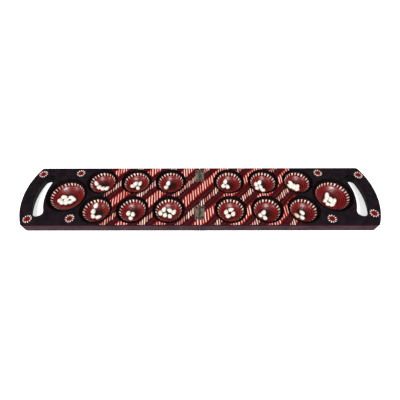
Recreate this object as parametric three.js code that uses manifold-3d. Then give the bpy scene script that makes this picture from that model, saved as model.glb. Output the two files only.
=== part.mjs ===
// Folding mancala board: two carved wooden halves joined by two steel butt hinges,
// six small pits and one store in each half, and small shells as the seeds.
// Millimetres. +X runs along the open board, +Y to its rear side, +Z up; the underside is z = 0.

import * as THREE from "three";
import { mergeVertices } from "three/addons/utils/BufferGeometryUtils.js";
import Module from "manifold-3d";

const wasm = await Module();
wasm.setup();

// ---- driving dimensions ----

// the open board
const LENGTH = 660;
const WIDTH = 131;
const THICKNESS = 23;
const SEAM_GAP = 0.6;
const END_BULGE = 17; // how far each end arc stands out past its two corners
const CORNER_ROUND = 6; // corners seen from above
const BOTTOM_ROUND = 5.5; // lower edges, all round but at the seam
const TOP_BREAK = 0.6; // upper edges

// the pits: a shallow bevel inside the lip, then a steeper wall that runs out into a spherical floor
const PIT = { lip: 29, depth: 16.5, wallTop: 24, floorEdge: 16, around: 24 };
const STORE = { lip: 37, depth: 17.5, wallTop: 31, floorEdge: 22, around: 30 };
const BEVEL_DEPTH = 3;
const WALL_SLOPE = 2.1;
const WALL_STEPS = 3;
const FLOOR_STEPS = 3;
const FIRST_COLUMN_X = 56.2;
const COLUMN_PITCH = 66;
const ROW_Y = 32;
const STORE_X = 248.5;

// the handle slot, which follows the end arc; its outer wall slopes out to the underside
const SLOT = { top: 18, bottom: 28, grip: 22.7, corner: 8.5, halfLength: 49.4 };

// the hinges, let into the top face across the seam
const HINGE_LENGTH = 28;
const HINGE_Y = { rear: 45, front: -39.5 };
const AXIS_RISE = 1; // pin axis above the top face
const LEAF_REACH = 8.4; // pin axis to the leaf's outer edge
const LEAF_THICKNESS = 1.2;
const LEAF_PROUD = 0.6; // how far the leaf stands above the top face
const KNUCKLE_RADIUS = 2.2;
const KNUCKLES = 5; // the left leaf has the outer and middle ones, the right leaf the two between
const KNUCKLE_GAP = 0.4;
const PIN = { radius: 1, headRadius: 1.6, headThickness: 0.6 };
const SCREW = { shank: 1.1, head: 2.1, headDepth: 1, length: 9.6, slotWidth: 0.6, slotDepth: 0.4 };
const SCREW_X = 5.5;
const SCREW_Y = 10.5; // each side of the hinge's middle

// clearance between pieces that touch, so that no two solids share material
const FIT = 0.3;

// one shell
const SEED = { length: 11.4, width: 8.2, height: 6.8, taper: 0.22, around: 8, rings: 5 };
const SEED_GAP = 0.5;

// ---- derived from them ----

const ARC_RADIUS = (WIDTH ** 2 / 4 + END_BULGE ** 2) / (2 * END_BULGE);
const ARC_X = LENGTH / 2 - ARC_RADIUS;
const AXIS_Z = THICKNESS + AXIS_RISE;
const LEAF_TOP_Z = THICKNESS + LEAF_PROUD;
const LEAF_BOTTOM_Z = LEAF_TOP_Z - LEAF_THICKNESS;
const BORE_RADIUS = PIN.radius + FIT;
const CLEAR_RADIUS = KNUCKLE_RADIUS + FIT + 0.1;
const COLUMNS = ["inner", "middle", "outer"];
const SIDES = { left: -1, right: 1 };

// Where each shell lies: offset from the middle of its pit in x and y, the way it points in
// degrees, and its layer (0 on the bowl, 1 on other shells). The rows read from the seam outward.
const SEEDS = {
  left_rear_inner: [[-6.5, 5, 75], [-10, -7.5, 60]],
  left_rear_middle: [[4.5, 4, 60], [-9.5, -4, 20], [1.5, -8.5, 110], [-3.5, -1, 60, 1]],
  left_rear_outer: [[-16.5, 2, 120], [-9, -6.5, 70], [-0.5, -10, 80], [9, -11, 60]],
  left_front_inner: [
    [-11, 6.5, 70], [-17.5, -3.5, 100], [-8, -6, 80], [0.5, 5.5, 150], [10, 0.5, 60],
    [2, -8.5, 110],
  ],
  left_front_middle: [[-9.5, -1.5, 80], [-0.5, -3.5, 100], [-3, -15, 120]],
  left_front_outer: [[-5, 15.5, 70], [-9, 3, 85], [-7, -9, 130], [5, -11.5, 20]],
  right_rear_inner: [[-6.5, 8.5, 75], [-11.5, -3.5, 80], [-2.5, -4.5, 110]],
  right_rear_middle: [[-5, 6.5, 60], [-14, 0, 85], [-4.5, -6, 100], [-13, -12, 60], [-2, -17, 140]],
  right_front_inner: [[2, 7, 20], [6, -3, 70], [-8.5, 1, 70], [-4.5, -9, 30]],
  right_front_middle: [[-5, 0.5, 60], [-13.5, -8, 70], [-5.5, -14, 100]],
  right_front_outer: [[-0.5, 0, 120], [-14.5, -9.5, 130], [-4.5, -13.5, 115]],
};

// The fullest pit and the two stores: each of these heaps is one solid, joined where its shells touch.
const HEAPS = {
  right_rear_outer: [
    [-11.5, 3.5, 125], [-15.5, -6.5, 140], [-8.5, -8.5, 130], [-4, -3, 75], [3, -4, 60],
    [-1, -14.5, 10],
  ],
  left_store: [
    [-11.5, 3.5, 20], [-5, -2.5, 60], [2.5, 3.5, 160], [9, -1.5, 150], [4.5, -8.5, 20],
    [-3, -10.5, 40], [-11, -10.5, 60], [-16.5, -6, 60],
  ],
  right_store: [
    [-5.5, 8.5, 75], [-8.5, 0, 80], [-0.5, -0.5, 120], [6.5, -5.5, 60], [-13.5, -7, 50],
    [-4.5, -7, 100, 0.6], [2, -12, 30], [-11.5, -15.5, 70], [-3, -18, 10],
  ],
};

// ---- helpers ----

const steps = (count) => Array.from({ length: count + 1 }, (_, i) => i / count);

function manifoldOf(vertices, triangles) {
  return new wasm.Manifold(
    new wasm.Mesh({
      numProp: 3,
      vertProperties: Float32Array.from(vertices),
      triVerts: Uint32Array.from(triangles),
    }),
  );
}

// A closed three.js geometry as a solid that can be joined and cut.
function solidOf(geometry) {
  const bare = new THREE.BufferGeometry();
  bare.setAttribute("position", geometry.getAttribute("position"));
  if (geometry.index) bare.setIndex(geometry.index);
  const merged = mergeVertices(bare, 1e-4);
  const corners = Array.from(merged.index.array);
  const triangles = [];
  for (let i = 0; i < corners.length; i += 3) {
    const [a, b, c] = corners.slice(i, i + 3);
    if (a !== b && b !== c && c !== a) triangles.push(a, b, c);
  }
  return manifoldOf(merged.getAttribute("position").array, triangles);
}

function meshOf(name, solid, material) {
  const { vertProperties, triVerts } = solid.getMesh();
  const geometry = new THREE.BufferGeometry();
  geometry.setAttribute("position", new THREE.BufferAttribute(Float32Array.from(vertProperties), 3));
  geometry.setIndex(Array.from(triVerts));
  geometry.computeVertexNormals();
  const mesh = new THREE.Mesh(geometry, material.clone());
  mesh.name = name;
  return mesh;
}

const joined = (solids) => solids.reduce((whole, solid) => whole.add(solid));
const cut = (solid, tools) => tools.reduce((rest, tool) => rest.subtract(tool), solid);

// A solid turned about Z from a profile of [radius, height] points.
function turned(profile, around) {
  const points = profile.map(([radius, height]) => new THREE.Vector2(radius, height));
  return new THREE.LatheGeometry(points, around).rotateX(Math.PI / 2);
}

// A box given by its two far corners.
function block(low, high) {
  const size = high.map((value, i) => value - low[i]);
  const middle = high.map((value, i) => (value + low[i]) / 2);
  return new THREE.BoxGeometry(...size).translate(...middle);
}

// Both sides are drawn at +X; the left one is then turned half way round about Z.
const placed = (solid, side) => (side < 0 ? solid.rotate([0, 0, 180]) : solid);

// ---- board halves ----

// One half's outline from above, drawn in by `inset` everywhere but at the seam.
function halfOutline(inset) {
  const roundY = WIDTH / 2 - CORNER_ROUND;
  const roundX = ARC_X + Math.sqrt((ARC_RADIUS - CORNER_ROUND) ** 2 - roundY ** 2);
  const endAngle = Math.atan2(roundY, roundX - ARC_X);
  const cornerArc = (y, from, to) =>
    steps(3).map((t) => {
      const angle = from + (to - from) * t;
      const radius = CORNER_ROUND - inset;
      return [roundX + radius * Math.cos(angle), y + radius * Math.sin(angle)];
    });
  const endArc = steps(14)
    .slice(1, -1)
    .map((t) => {
      const angle = endAngle * (2 * t - 1);
      const radius = ARC_RADIUS - inset;
      return [ARC_X + radius * Math.cos(angle), radius * Math.sin(angle)];
    });
  return [
    [SEAM_GAP / 2, inset - WIDTH / 2],
    ...cornerArc(-roundY, -Math.PI / 2, -endAngle),
    ...endArc,
    ...cornerArc(roundY, endAngle, Math.PI / 2),
    [SEAM_GAP / 2, WIDTH / 2 - inset],
  ];
}

// A solid skinned over outlines stacked from the bottom up, all with the same number of points.
function stacked(layers) {
  const count = layers[0].outline.length;
  const vertices = layers.flatMap(({ z, outline }) => outline.flatMap(([x, y]) => [x, y, z]));
  const triangles = [];
  for (let layer = 0; layer + 1 < layers.length; layer++) {
    for (let i = 0; i < count; i++) {
      const low = layer * count + i;
      const lowNext = layer * count + ((i + 1) % count);
      triangles.push(low, lowNext, lowNext + count, low, lowNext + count, low + count);
    }
  }
  const top = (layers.length - 1) * count;
  const face = layers[0].outline.map(([x, y]) => new THREE.Vector2(x, y));
  for (const [a, b, c] of THREE.ShapeUtils.triangulateShape(face, [])) {
    triangles.push(a, c, b, top + a, top + b, top + c);
  }
  return manifoldOf(vertices, triangles);
}

function slab() {
  const rounded = steps(4).map((t) => {
    const angle = (t * Math.PI) / 2;
    return {
      z: BOTTOM_ROUND * (1 - Math.cos(angle)),
      outline: halfOutline(BOTTOM_ROUND * (1 - Math.sin(angle))),
    };
  });
  return stacked([
    ...rounded,
    { z: THICKNESS - TOP_BREAK, outline: halfOutline(0) },
    { z: THICKNESS, outline: halfOutline(TOP_BREAK) },
  ]);
}

// The floor belongs to the sphere that would meet the lip if it ran on up.
const bowlRadius = ({ lip, depth }) => (lip ** 2 + depth ** 2) / (2 * depth);

// The wall from the floor's edge up to the bevel, as (radius, height): it leaves the floor smoothly
// and arrives at the bevel with the wall's slope.
function bowlWall({ depth, wallTop, floorEdge }, radius) {
  const slope = floorEdge / Math.sqrt(radius ** 2 - floorEdge ** 2);
  const low = [floorEdge, THICKNESS - depth + radius - Math.sqrt(radius ** 2 - floorEdge ** 2)];
  const high = [wallTop, THICKNESS - BEVEL_DEPTH];
  const run = (high[1] - low[1] - slope * (wallTop - floorEdge)) / (WALL_SLOPE - slope);
  const turn = [wallTop - run, high[1] - WALL_SLOPE * run];
  return steps(WALL_STEPS).map((t) =>
    [0, 1].map((i) => (1 - t) ** 2 * low[i] + 2 * t * (1 - t) * turn[i] + t ** 2 * high[i]),
  );
}

// The space inside a pit, carried on above the top face.
function bowlCutter(pit, x, y) {
  const radius = bowlRadius(pit);
  const spread = Math.asin(pit.floorEdge / radius);
  const floor = steps(FLOOR_STEPS).map((t) => [
    radius * Math.sin(spread * t),
    THICKNESS - pit.depth + radius * (1 - Math.cos(spread * t)),
  ]);
  const wall = bowlWall(pit, radius).slice(1);
  const profile = [...floor, ...wall, [pit.lip, THICKNESS], [pit.lip, THICKNESS + 2], [0, THICKNESS + 2]];
  return solidOf(turned(profile, pit.around).translate(x, y, 0));
}

// The slot's outline from above: a stretch of a ring with rounded corners.
function slotOutline(width) {
  const { corner, halfLength } = SLOT;
  const inner = ARC_RADIUS - SLOT.grip - SLOT.top;
  const outer = inner + width;
  const halfAngle = Math.asin(halfLength / outer);
  const arc = (radius, from, to, count, x = 0, y = 0) =>
    steps(count).map((t) => {
      const angle = from + (to - from) * t;
      return [ARC_X + x + radius * Math.cos(angle), y + radius * Math.sin(angle)];
    });
  const cornerAt = (radius, from, to) => {
    const angle = halfAngle - Math.asin(corner / radius);
    return arc(corner, from(angle), to(angle), 3, radius * Math.cos(angle), radius * Math.sin(angle));
  };
  const square = halfAngle + Math.PI / 2;
  const outerCorner = cornerAt(outer - corner, (angle) => angle, () => square);
  const innerCorner = cornerAt(inner + corner, () => square, (angle) => angle + Math.PI);
  const outerEnd = halfAngle - Math.asin(corner / (outer - corner));
  const innerEnd = halfAngle - Math.asin(corner / (inner + corner));
  const mirrored = (points) => points.map(([x, y]) => [x, -y]).reverse();
  return [
    ...arc(outer, -outerEnd, outerEnd, 10).slice(1, -1),
    ...outerCorner,
    ...innerCorner,
    ...arc(inner, innerEnd, -innerEnd, 10).slice(1, -1),
    ...mirrored(innerCorner),
    ...mirrored(outerCorner),
  ];
}

function slotCutter() {
  const overrun = 2; // past both faces
  const widening = ((SLOT.bottom - SLOT.top) * overrun) / THICKNESS;
  return stacked([
    { z: -overrun, outline: slotOutline(SLOT.bottom + widening) },
    { z: THICKNESS + overrun, outline: slotOutline(SLOT.top - widening) },
  ]);
}

// Recess for one leaf, the trough under the knuckles, and the two screw holes.
function hingeCutters(y) {
  const halfLength = HINGE_LENGTH / 2 + FIT;
  const floor = LEAF_BOTTOM_Z - FIT;
  const recess = block([-1, y - halfLength, floor], [LEAF_REACH + FIT, y + halfLength, THICKNESS + 2]);
  const reach = halfLength + PIN.headThickness + FIT;
  const trough = new THREE.CylinderGeometry(CLEAR_RADIUS, CLEAR_RADIUS, 2 * reach, 16).translate(0, y, 0);
  const holes = [-SCREW_Y, SCREW_Y].map((offset) => {
    const bottom = LEAF_TOP_Z - SCREW.length - FIT;
    const profile = [[0, bottom], [SCREW.shank + FIT, bottom], [SCREW.shank + FIT, floor + 1], [0, floor + 1]];
    return turned(profile, 10).translate(SCREW_X, y + offset, 0);
  });
  return [recess, trough.translate(0, 0, AXIS_Z), ...holes].map(solidOf);
}

function boardHalf(side) {
  const pits = COLUMNS.flatMap((_, i) =>
    [ROW_Y, -ROW_Y].map((y) => bowlCutter(PIT, FIRST_COLUMN_X + COLUMN_PITCH * i, y)),
  );
  const hinges = Object.values(HINGE_Y).flatMap((y) => hingeCutters(y * side));
  return placed(cut(slab(), [...pits, bowlCutter(STORE, STORE_X, 0), slotCutter(), ...hinges]), side);
}

// ---- hinges ----

// One knuckle and the short tab that ties it to its leaf, from y0 to y1.
function knuckle(y0, y1) {
  const ring = new THREE.Shape().absarc(0, 0, KNUCKLE_RADIUS, 0, 2 * Math.PI);
  ring.holes.push(new THREE.Path().absarc(0, 0, BORE_RADIUS, 0, 2 * Math.PI));
  const settings = { depth: y1 - y0, bevelEnabled: false, curveSegments: 7 };
  const tube = new THREE.ExtrudeGeometry(ring, settings).rotateX(Math.PI / 2).translate(0, y1, AXIS_Z);
  const tab = block([BORE_RADIUS + 0.2, y0, LEAF_BOTTOM_Z], [CLEAR_RADIUS + 1, y1, LEAF_TOP_Z]);
  return solidOf(tube).add(solidOf(tab));
}

function screwHole(y) {
  const grow = (LEAF_THICKNESS + FIT) / SCREW.headDepth;
  const spread = (SCREW.head - SCREW.shank) * grow;
  const top = SCREW.head + FIT;
  const profile = [
    [0, LEAF_BOTTOM_Z - FIT],
    [top - spread + 0.2, LEAF_BOTTOM_Z - FIT],
    [top, LEAF_TOP_Z],
    [top, LEAF_TOP_Z + 1],
    [0, LEAF_TOP_Z + 1],
  ];
  return solidOf(turned(profile, 12).translate(SCREW_X, y, 0));
}

// A leaf with its share of the knuckles; `first` is the number of its first knuckle.
function hingeLeaf(y, side, first) {
  const middle = y * side;
  const low = middle - HINGE_LENGTH / 2;
  const pitch = HINGE_LENGTH / KNUCKLES;
  const plate = block([CLEAR_RADIUS, low, LEAF_BOTTOM_Z], [LEAF_REACH, low + HINGE_LENGTH, LEAF_TOP_Z]);
  const knuckles = [];
  for (let i = first; i < KNUCKLES; i += 2) {
    const start = low + pitch * i;
    knuckles.push(knuckle(start + KNUCKLE_GAP / 2, start + pitch - KNUCKLE_GAP / 2));
  }
  const holes = [-SCREW_Y, SCREW_Y].map((offset) => screwHole(middle + offset));
  return placed(cut(joined([solidOf(plate), ...knuckles]), holes), side);
}

function hingePin(y) {
  const head = HINGE_LENGTH / 2 + FIT;
  const end = head + PIN.headThickness;
  const profile = [
    [0, -end],
    [PIN.headRadius, -end],
    [PIN.headRadius, -head],
    [PIN.radius, -head],
    [PIN.radius, head],
    [PIN.headRadius, head],
    [PIN.headRadius, end],
    [0, end],
  ];
  return solidOf(turned(profile, 12).rotateX(Math.PI / 2).translate(0, y, AXIS_Z));
}

function screw(x, y) {
  const profile = [
    [0, -SCREW.length],
    [SCREW.shank, 1.5 - SCREW.length],
    [SCREW.shank, -SCREW.headDepth],
    [SCREW.head, 0],
    [0, 0],
  ];
  const slot = block(
    [-SCREW.slotWidth / 2, -SCREW.head - 1, -SCREW.slotDepth],
    [SCREW.slotWidth / 2, SCREW.head + 1, 1],
  );
  return cut(solidOf(turned(profile, 12)), [solidOf(slot)]).translate([x, y, LEAF_TOP_Z]);
}

// ---- seeds ----

// A rounded shell lying along X, blunt at one end and narrower at the other.
function seedShape() {
  const { length, width, height, taper, around, rings } = SEED;
  const profile = steps(rings).map((t) => {
    const swell = Math.sin(Math.PI * t) * (1 + taper * Math.cos(Math.PI * t));
    return [swell / 2, -Math.cos(Math.PI * t) / 2];
  });
  profile[0][0] = 0;
  profile[rings][0] = 0;
  return turned(profile, around).rotateY(Math.PI / 2).scale(length, width, height);
}

// The shell lies on the bowl's wall, so it leans in towards the middle of the bowl.
function seed(pit, centre, [dx, dy, turn, layer = 0]) {
  const radius = bowlRadius(pit);
  const up = new THREE.Vector3(-dx, -dy, Math.sqrt(radius ** 2 - dx ** 2 - dy ** 2)).normalize();
  const bowlCentre = new THREE.Vector3(centre.x, centre.y, THICKNESS - pit.depth + radius);
  const rise = SEED.height * (0.5 + 0.85 * layer) + SEED_GAP;
  const middle = bowlCentre.addScaledVector(up, rise - radius);
  const lean = new THREE.Quaternion().setFromUnitVectors(new THREE.Vector3(0, 0, 1), up);
  const shell = seedShape().rotateZ(THREE.MathUtils.degToRad(turn));
  return solidOf(shell.applyQuaternion(lean).translate(middle.x, middle.y, middle.z));
}

// A pit's bowl and its middle, from a name such as left_rear_outer or right_store.
function pitNamed(name) {
  const [sideName, rowOrStore, column] = name.split("_");
  const side = SIDES[sideName];
  if (rowOrStore === "store") return { pit: STORE, centre: { x: side * STORE_X, y: 0 } };
  const x = side * (FIRST_COLUMN_X + COLUMN_PITCH * COLUMNS.indexOf(column));
  return { pit: PIT, centre: { x, y: rowOrStore === "rear" ? ROW_Y : -ROW_Y } };
}

// ---- assembly ----

const lacquer = new THREE.MeshStandardMaterial({ color: 0x4a1512, roughness: 0.35, flatShading: true });
const steel = new THREE.MeshStandardMaterial({
  color: 0x8a8a84,
  roughness: 0.45,
  metalness: 0.8,
  flatShading: true,
});
const shellWhite = new THREE.MeshStandardMaterial({ color: 0xf1ead8, roughness: 0.4, flatShading: true });

const board = new THREE.Group();
board.name = "mancala_board";

for (const [sideName, side] of Object.entries(SIDES)) {
  board.add(meshOf(`board_${sideName}`, boardHalf(side), lacquer));
}

for (const [place, y] of Object.entries(HINGE_Y)) {
  board.add(meshOf(`hinge_${place}_pin`, hingePin(y), steel));
  for (const [sideName, side] of Object.entries(SIDES)) {
    const leaf = hingeLeaf(y, side, side < 0 ? 0 : 1);
    board.add(meshOf(`hinge_${place}_leaf_${sideName}`, leaf, steel));
    for (const [end, offset] of [["rear", SCREW_Y], ["front", -SCREW_Y]]) {
      const name = `hinge_${place}_screw_${sideName}_${end}`;
      board.add(meshOf(name, screw(side * SCREW_X, y + offset), steel));
    }
  }
}

for (const [name, places] of Object.entries(SEEDS)) {
  const { pit, centre } = pitNamed(name);
  places.forEach((at, i) => {
    board.add(meshOf(`seed_${name}_${i + 1}`, seed(pit, centre, at), shellWhite));
  });
}

for (const [name, places] of Object.entries(HEAPS)) {
  const { pit, centre } = pitNamed(name);
  const heap = joined(places.map((at) => seed(pit, centre, at)));
  board.add(meshOf(`seeds_${name}`, heap, shellWhite));
}

export default board;
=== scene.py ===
# A folding carved and painted mancala board, lying open with shells in its pits.
# Lengths in this script are millimetres until a mesh or the camera is written out in metres.
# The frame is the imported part's: +X along the open board, +Y to its rear, +Z up, underside at z = 0.

import math
import random

import bmesh
import bpy
from mathutils import Matrix, Vector


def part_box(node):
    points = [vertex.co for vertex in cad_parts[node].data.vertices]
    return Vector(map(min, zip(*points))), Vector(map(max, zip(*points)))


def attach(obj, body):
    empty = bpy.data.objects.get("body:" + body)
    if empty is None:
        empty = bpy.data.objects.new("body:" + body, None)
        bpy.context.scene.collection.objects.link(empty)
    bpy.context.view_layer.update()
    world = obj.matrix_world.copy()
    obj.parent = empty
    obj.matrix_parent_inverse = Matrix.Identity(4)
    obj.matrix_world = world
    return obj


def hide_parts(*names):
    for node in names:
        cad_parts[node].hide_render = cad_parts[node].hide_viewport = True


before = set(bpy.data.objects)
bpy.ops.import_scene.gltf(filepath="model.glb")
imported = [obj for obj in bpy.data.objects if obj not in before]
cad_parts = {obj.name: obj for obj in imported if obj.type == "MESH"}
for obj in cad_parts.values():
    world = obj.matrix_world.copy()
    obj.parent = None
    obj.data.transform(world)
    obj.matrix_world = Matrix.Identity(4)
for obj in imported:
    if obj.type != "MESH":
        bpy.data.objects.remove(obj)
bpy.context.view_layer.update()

MM = 0.001


def node_box(node):
    """Lowest and highest corner of a CAD node, in millimetres."""
    low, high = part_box(node)
    return Vector(low) / MM, Vector(high) / MM


# ---- the board's dimensions, the same as the CAD solids' ----

HALF_LOW, HALF_HIGH = node_box("board_right")
SEAM_X = HALF_LOW.x
END_X = HALF_HIGH.x
HALF_WIDTH = HALF_HIGH.y
THICKNESS = HALF_HIGH.z
END_BULGE = 17
CORNER_ROUND = 6
BOTTOM_ROUND = 5.5
TOP_ROUND = 1.1
ARC_RADIUS = (HALF_WIDTH**2 + END_BULGE**2) / (2 * END_BULGE)
ARC_X = END_X - ARC_RADIUS

LIP_ROUND = 1.2  # where the bevel inside a pit's lip meets the face, and where it meets the wall
BEVEL_DEPTH, WALL_SLOPE = 3, 2.1


class Bowl:
    """A pit: a bevel from the lip down to the top of a steep wall, which runs out into a round floor."""

    def __init__(self, lip, depth, wall_top, floor_edge, marks, around):
        self.lip, self.depth, self.wall_top, self.floor_edge = lip, depth, wall_top, floor_edge
        self.marks = marks  # painted dashes round the wall
        self.around = around  # mesh points round the wall
        self.radius = (lip**2 + depth**2) / (2 * depth)  # of the floor


PIT_BOWL = Bowl(29, 16.5, 24, 16, 23, 72)
STORE_BOWL = Bowl(37, 17.5, 31, 22, 30, 90)
FIRST_COLUMN_X, COLUMN_PITCH, ROW_Y = 56.2, 66, 32
STORE_X = 248.5
COLUMNS = ("inner", "middle", "outer")
SIDES = {"left": -1, "right": 1}

# The handle slot: its outer wall slopes out towards the underside, which leaves a strip to grip.
SLOT_TOP, SLOT_BOTTOM, SLOT_GRIP, SLOT_HALF_LENGTH = 18, 28, 22.7, 49.4
SLOT_CORNER, SLOT_ROUND = 8.5, 1.2

# ---- the hinges ----

HINGE_PLACES = ("rear", "front")
AXIS_Z = THICKNESS + 1
KNUCKLE_RADIUS, BORE_RADIUS, CLEAR_RADIUS = 2.14, 1.3, 2.6
KNUCKLES, KNUCKLE_GAP, KNUCKLE_OVERLAP = 5, 0.4, 0.6
PIN_RADIUS, PIN_HEAD_RADIUS, PIN_HEAD = 1.0, 1.6, 0.6
LEAF_REACH, LEAF_PROUD, LEAF_THICKNESS, LEAF_CORNER = 8.4, 0.6, 1.2, 1.2
LEAF_TOP_Z = THICKNESS + LEAF_PROUD
LEAF_BOTTOM_Z = LEAF_TOP_Z - LEAF_THICKNESS
SCREW_X, SCREW_Y = 5.5, 10.5
SCREW_HEAD, SCREW_SHANK, SCREW_LENGTH, SCREW_HEAD_DEPTH = 2.1, 1.1, 9.6, 1
SCREW_POINT, THREAD_PITCH, THREADS = 1.5, 0.8, 9
DRIVER_SLOT_WIDTH, DRIVER_SLOT_DEPTH = 0.6, 0.45
FIT, HEAD_FIT = 0.3, 0.12
TROUGH_SPARE = 1.2  # past each end of the knuckles

# ---- the shells ----

SHELL_SIZE = Vector((11.4, 8.2, 6.8))
SHELL_TAPER, SHELL_GAP = 0.22, 0.5
BROWN_TIPPED, PINKISH = "right_rear_middle_5", "right_front_outer_2"

# Offset from the middle of the pit in x and y, the way the shell points in degrees, and its layer.
SHELLS = {
    "left_rear_inner": [(-6.5, 5, 75), (-10, -7.5, 60)],
    "left_rear_middle": [(4.5, 4, 60), (-9.5, -4, 20), (1.5, -8.5, 110), (-3.5, -1, 60, 1)],
    "left_rear_outer": [(-16.5, 2, 120), (-9, -6.5, 70), (-0.5, -10, 80), (9, -11, 60)],
    "left_front_inner": [
        (-11, 6.5, 70), (-17.5, -3.5, 100), (-8, -6, 80), (0.5, 5.5, 150), (10, 0.5, 60),
        (2, -8.5, 110),
    ],
    "left_front_middle": [(-9.5, -1.5, 80), (-0.5, -3.5, 100), (-3, -15, 120)],
    "left_front_outer": [(-5, 15.5, 70), (-9, 3, 85), (-7, -9, 130), (5, -11.5, 20)],
    "left_store": [
        (-11.5, 3.5, 20), (-5, -2.5, 60), (2.5, 3.5, 160), (9, -1.5, 150), (4.5, -8.5, 20),
        (-3, -10.5, 40), (-11, -10.5, 60), (-16.5, -6, 60),
    ],
    "right_rear_inner": [(-6.5, 8.5, 75), (-11.5, -3.5, 80), (-2.5, -4.5, 110)],
    "right_rear_middle": [
        (-5, 6.5, 60), (-14, 0, 85), (-4.5, -6, 100), (-13, -12, 60), (-2, -17, 140),
    ],
    "right_rear_outer": [
        (-11.5, 3.5, 125), (-15.5, -6.5, 140), (-8.5, -8.5, 130), (-4, -3, 75), (3, -4, 60),
        (-1, -14.5, 10),
    ],
    "right_front_inner": [(2, 7, 20), (6, -3, 70), (-8.5, 1, 70), (-4.5, -9, 30)],
    "right_front_middle": [(-5, 0.5, 60), (-13.5, -8, 70), (-5.5, -14, 100)],
    "right_front_outer": [(-0.5, 0, 120), (-14.5, -9.5, 130), (-4.5, -13.5, 115)],
    "right_store": [
        (-5.5, 8.5, 75), (-8.5, 0, 80), (-0.5, -0.5, 120), (6.5, -5.5, 60), (-13.5, -7, 50),
        (-4.5, -7, 100, 0.6), (2, -12, 30), (-11.5, -15.5, 70), (-3, -18, 10),
    ],
}

# ---- the paint ----

# Slanting bands: the way they run, where the first red one crosses the middle, and their spacing.
BAND_ANGLE = math.radians(47)
BAND_START, BAND_PITCH = 8, 48.5
RED_HALF_WIDTH, BLACK_HALF_WIDTH = 11.6, 7.0
MAUVE_LINES = ((14.0, 1.0), (16.6, 0.6))  # distance from the middle of a red band, and strength
RED_STROKES = {"pitch": 4.8, "half_width": 1.3, "reach": 8.8}
BLACK_STROKES = {"pitch": 4.1, "half_width": 1.2, "reach": 5.8}
FIELD_END_X = 178  # the bands stop here and the ends are plain black

# Painted dashes inside a pit's lip, and the turning lines below them.
MARK_LENGTH, TURNING_PITCH = 3.9, 3.0

ROSETTE_RADIUS, HEART_RADIUS, PETAL_MIDDLE, PETALS = 9.6, 5.4, 6.6, 11
ROSETTES = {
    -1: [(-307.8, 50), (-234.4, 52.2), (-305, -52.2), (-230.2, -51.1)],
    1: [(232.2, 52.2), (310, 46.7), (233.3, -52.2), (311.1, -41.1)],
}


def linear(code):
    """A colour from its hex code, as the shader wants it."""
    channels = [int(code[i : i + 2], 16) / 255 for i in (0, 2, 4)]
    return tuple(c / 12.92 if c <= 0.04045 else ((c + 0.055) / 1.055) ** 2.4 for c in channels) + (1,)


# ---- mesh helpers ----


def steps(count, start=0.0, end=1.0):
    """Evenly spaced numbers from start to end, both included."""
    return [start + (end - start) * i / count for i in range(count + 1)]


def circle(radius, count, x=0.0, y=0.0, z=0.0):
    turns = steps(count, 0, 2 * math.pi)[:-1]
    return [(x + radius * math.cos(a), y + radius * math.sin(a), z) for a in turns]


class Skin:
    """A mesh put together from rings of points, in millimetres."""

    def __init__(self):
        self.bm = bmesh.new()
        self.local = self.bm.verts.layers.float_vector.new("local")

    def ring(self, points, middle=None):
        """New vertices; `middle` is the centre their "local" place is measured from."""
        verts = [self.bm.verts.new(point) for point in points]
        if middle:
            for vert in verts:
                vert[self.local] = vert.co - Vector((middle[0], middle[1], 0))
        return verts

    def bridge(self, lower, upper, slot=0):
        for i, vert in enumerate(lower):
            j = (i + 1) % len(lower)
            self.bm.faces.new((vert, lower[j], upper[j], upper[i])).material_index = slot

    def stack(self, rings, slot=0):
        for lower, upper in zip(rings, rings[1:]):
            self.bridge(lower, upper, slot)

    def fan(self, ring, point, slot=0, middle=None):
        (centre,) = self.ring([point], middle)
        for i, vert in enumerate(ring):
            self.bm.faces.new((vert, ring[(i + 1) % len(ring)], centre)).material_index = slot

    def fill(self, rings, slot=0, normal=(0, 0, 1)):
        """A flat face bounded by the first ring, with the other rings as its holes or islands."""
        edges = []
        for ring in rings:
            for i, vert in enumerate(ring):
                pair = (vert, ring[(i + 1) % len(ring)])
                edges.append(self.bm.edges.get(pair) or self.bm.edges.new(pair))
        made = bmesh.ops.triangle_fill(self.bm, use_beauty=True, edges=edges, normal=normal)
        for face in made["geom"]:
            if isinstance(face, bmesh.types.BMFace):
                face.material_index = slot

    def object(self, name, materials, matrix=Matrix()):
        """Writes the mesh out in metres and returns its object."""
        self.bm.transform(matrix)
        self.bm.transform(Matrix.Scale(MM, 4))
        bmesh.ops.recalc_face_normals(self.bm, faces=self.bm.faces)
        if self.bm.calc_volume(signed=True) < 0:
            bmesh.ops.reverse_faces(self.bm, faces=self.bm.faces)
        mesh = bpy.data.meshes.new(name)
        self.bm.to_mesh(mesh)
        self.bm.free()
        for material in materials:
            mesh.materials.append(material)
        thing = bpy.data.objects.new(name, mesh)
        bpy.context.scene.collection.objects.link(thing)
        return thing


def smooth_shaded(thing, sharp_degrees=35):
    """Rounded faces shade smooth, and large flat ones stay flat."""
    thing.data.shade_smooth()
    thing.data.set_sharp_from_angle(angle=math.radians(sharp_degrees))
    weighted = thing.modifiers.new("flat_faces", "WEIGHTED_NORMAL")
    weighted.keep_sharp = True
    return thing


def rounded_edges(thing, width):
    """Takes the sharpness off the object's corners."""
    bevel = thing.modifiers.new("worn_edges", "BEVEL")
    bevel.width = width * MM
    bevel.segments = 2
    bevel.limit_method = "ANGLE"
    bevel.angle_limit = math.radians(40)
    bevel.harden_normals = False


def baked_mesh(thing):
    """Replaces an object's mesh with the result of its modifiers."""
    evaluated = thing.evaluated_get(bpy.context.evaluated_depsgraph_get())
    mesh = bpy.data.meshes.new_from_object(evaluated)
    thing.modifiers.clear()
    thing.data = mesh


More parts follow.
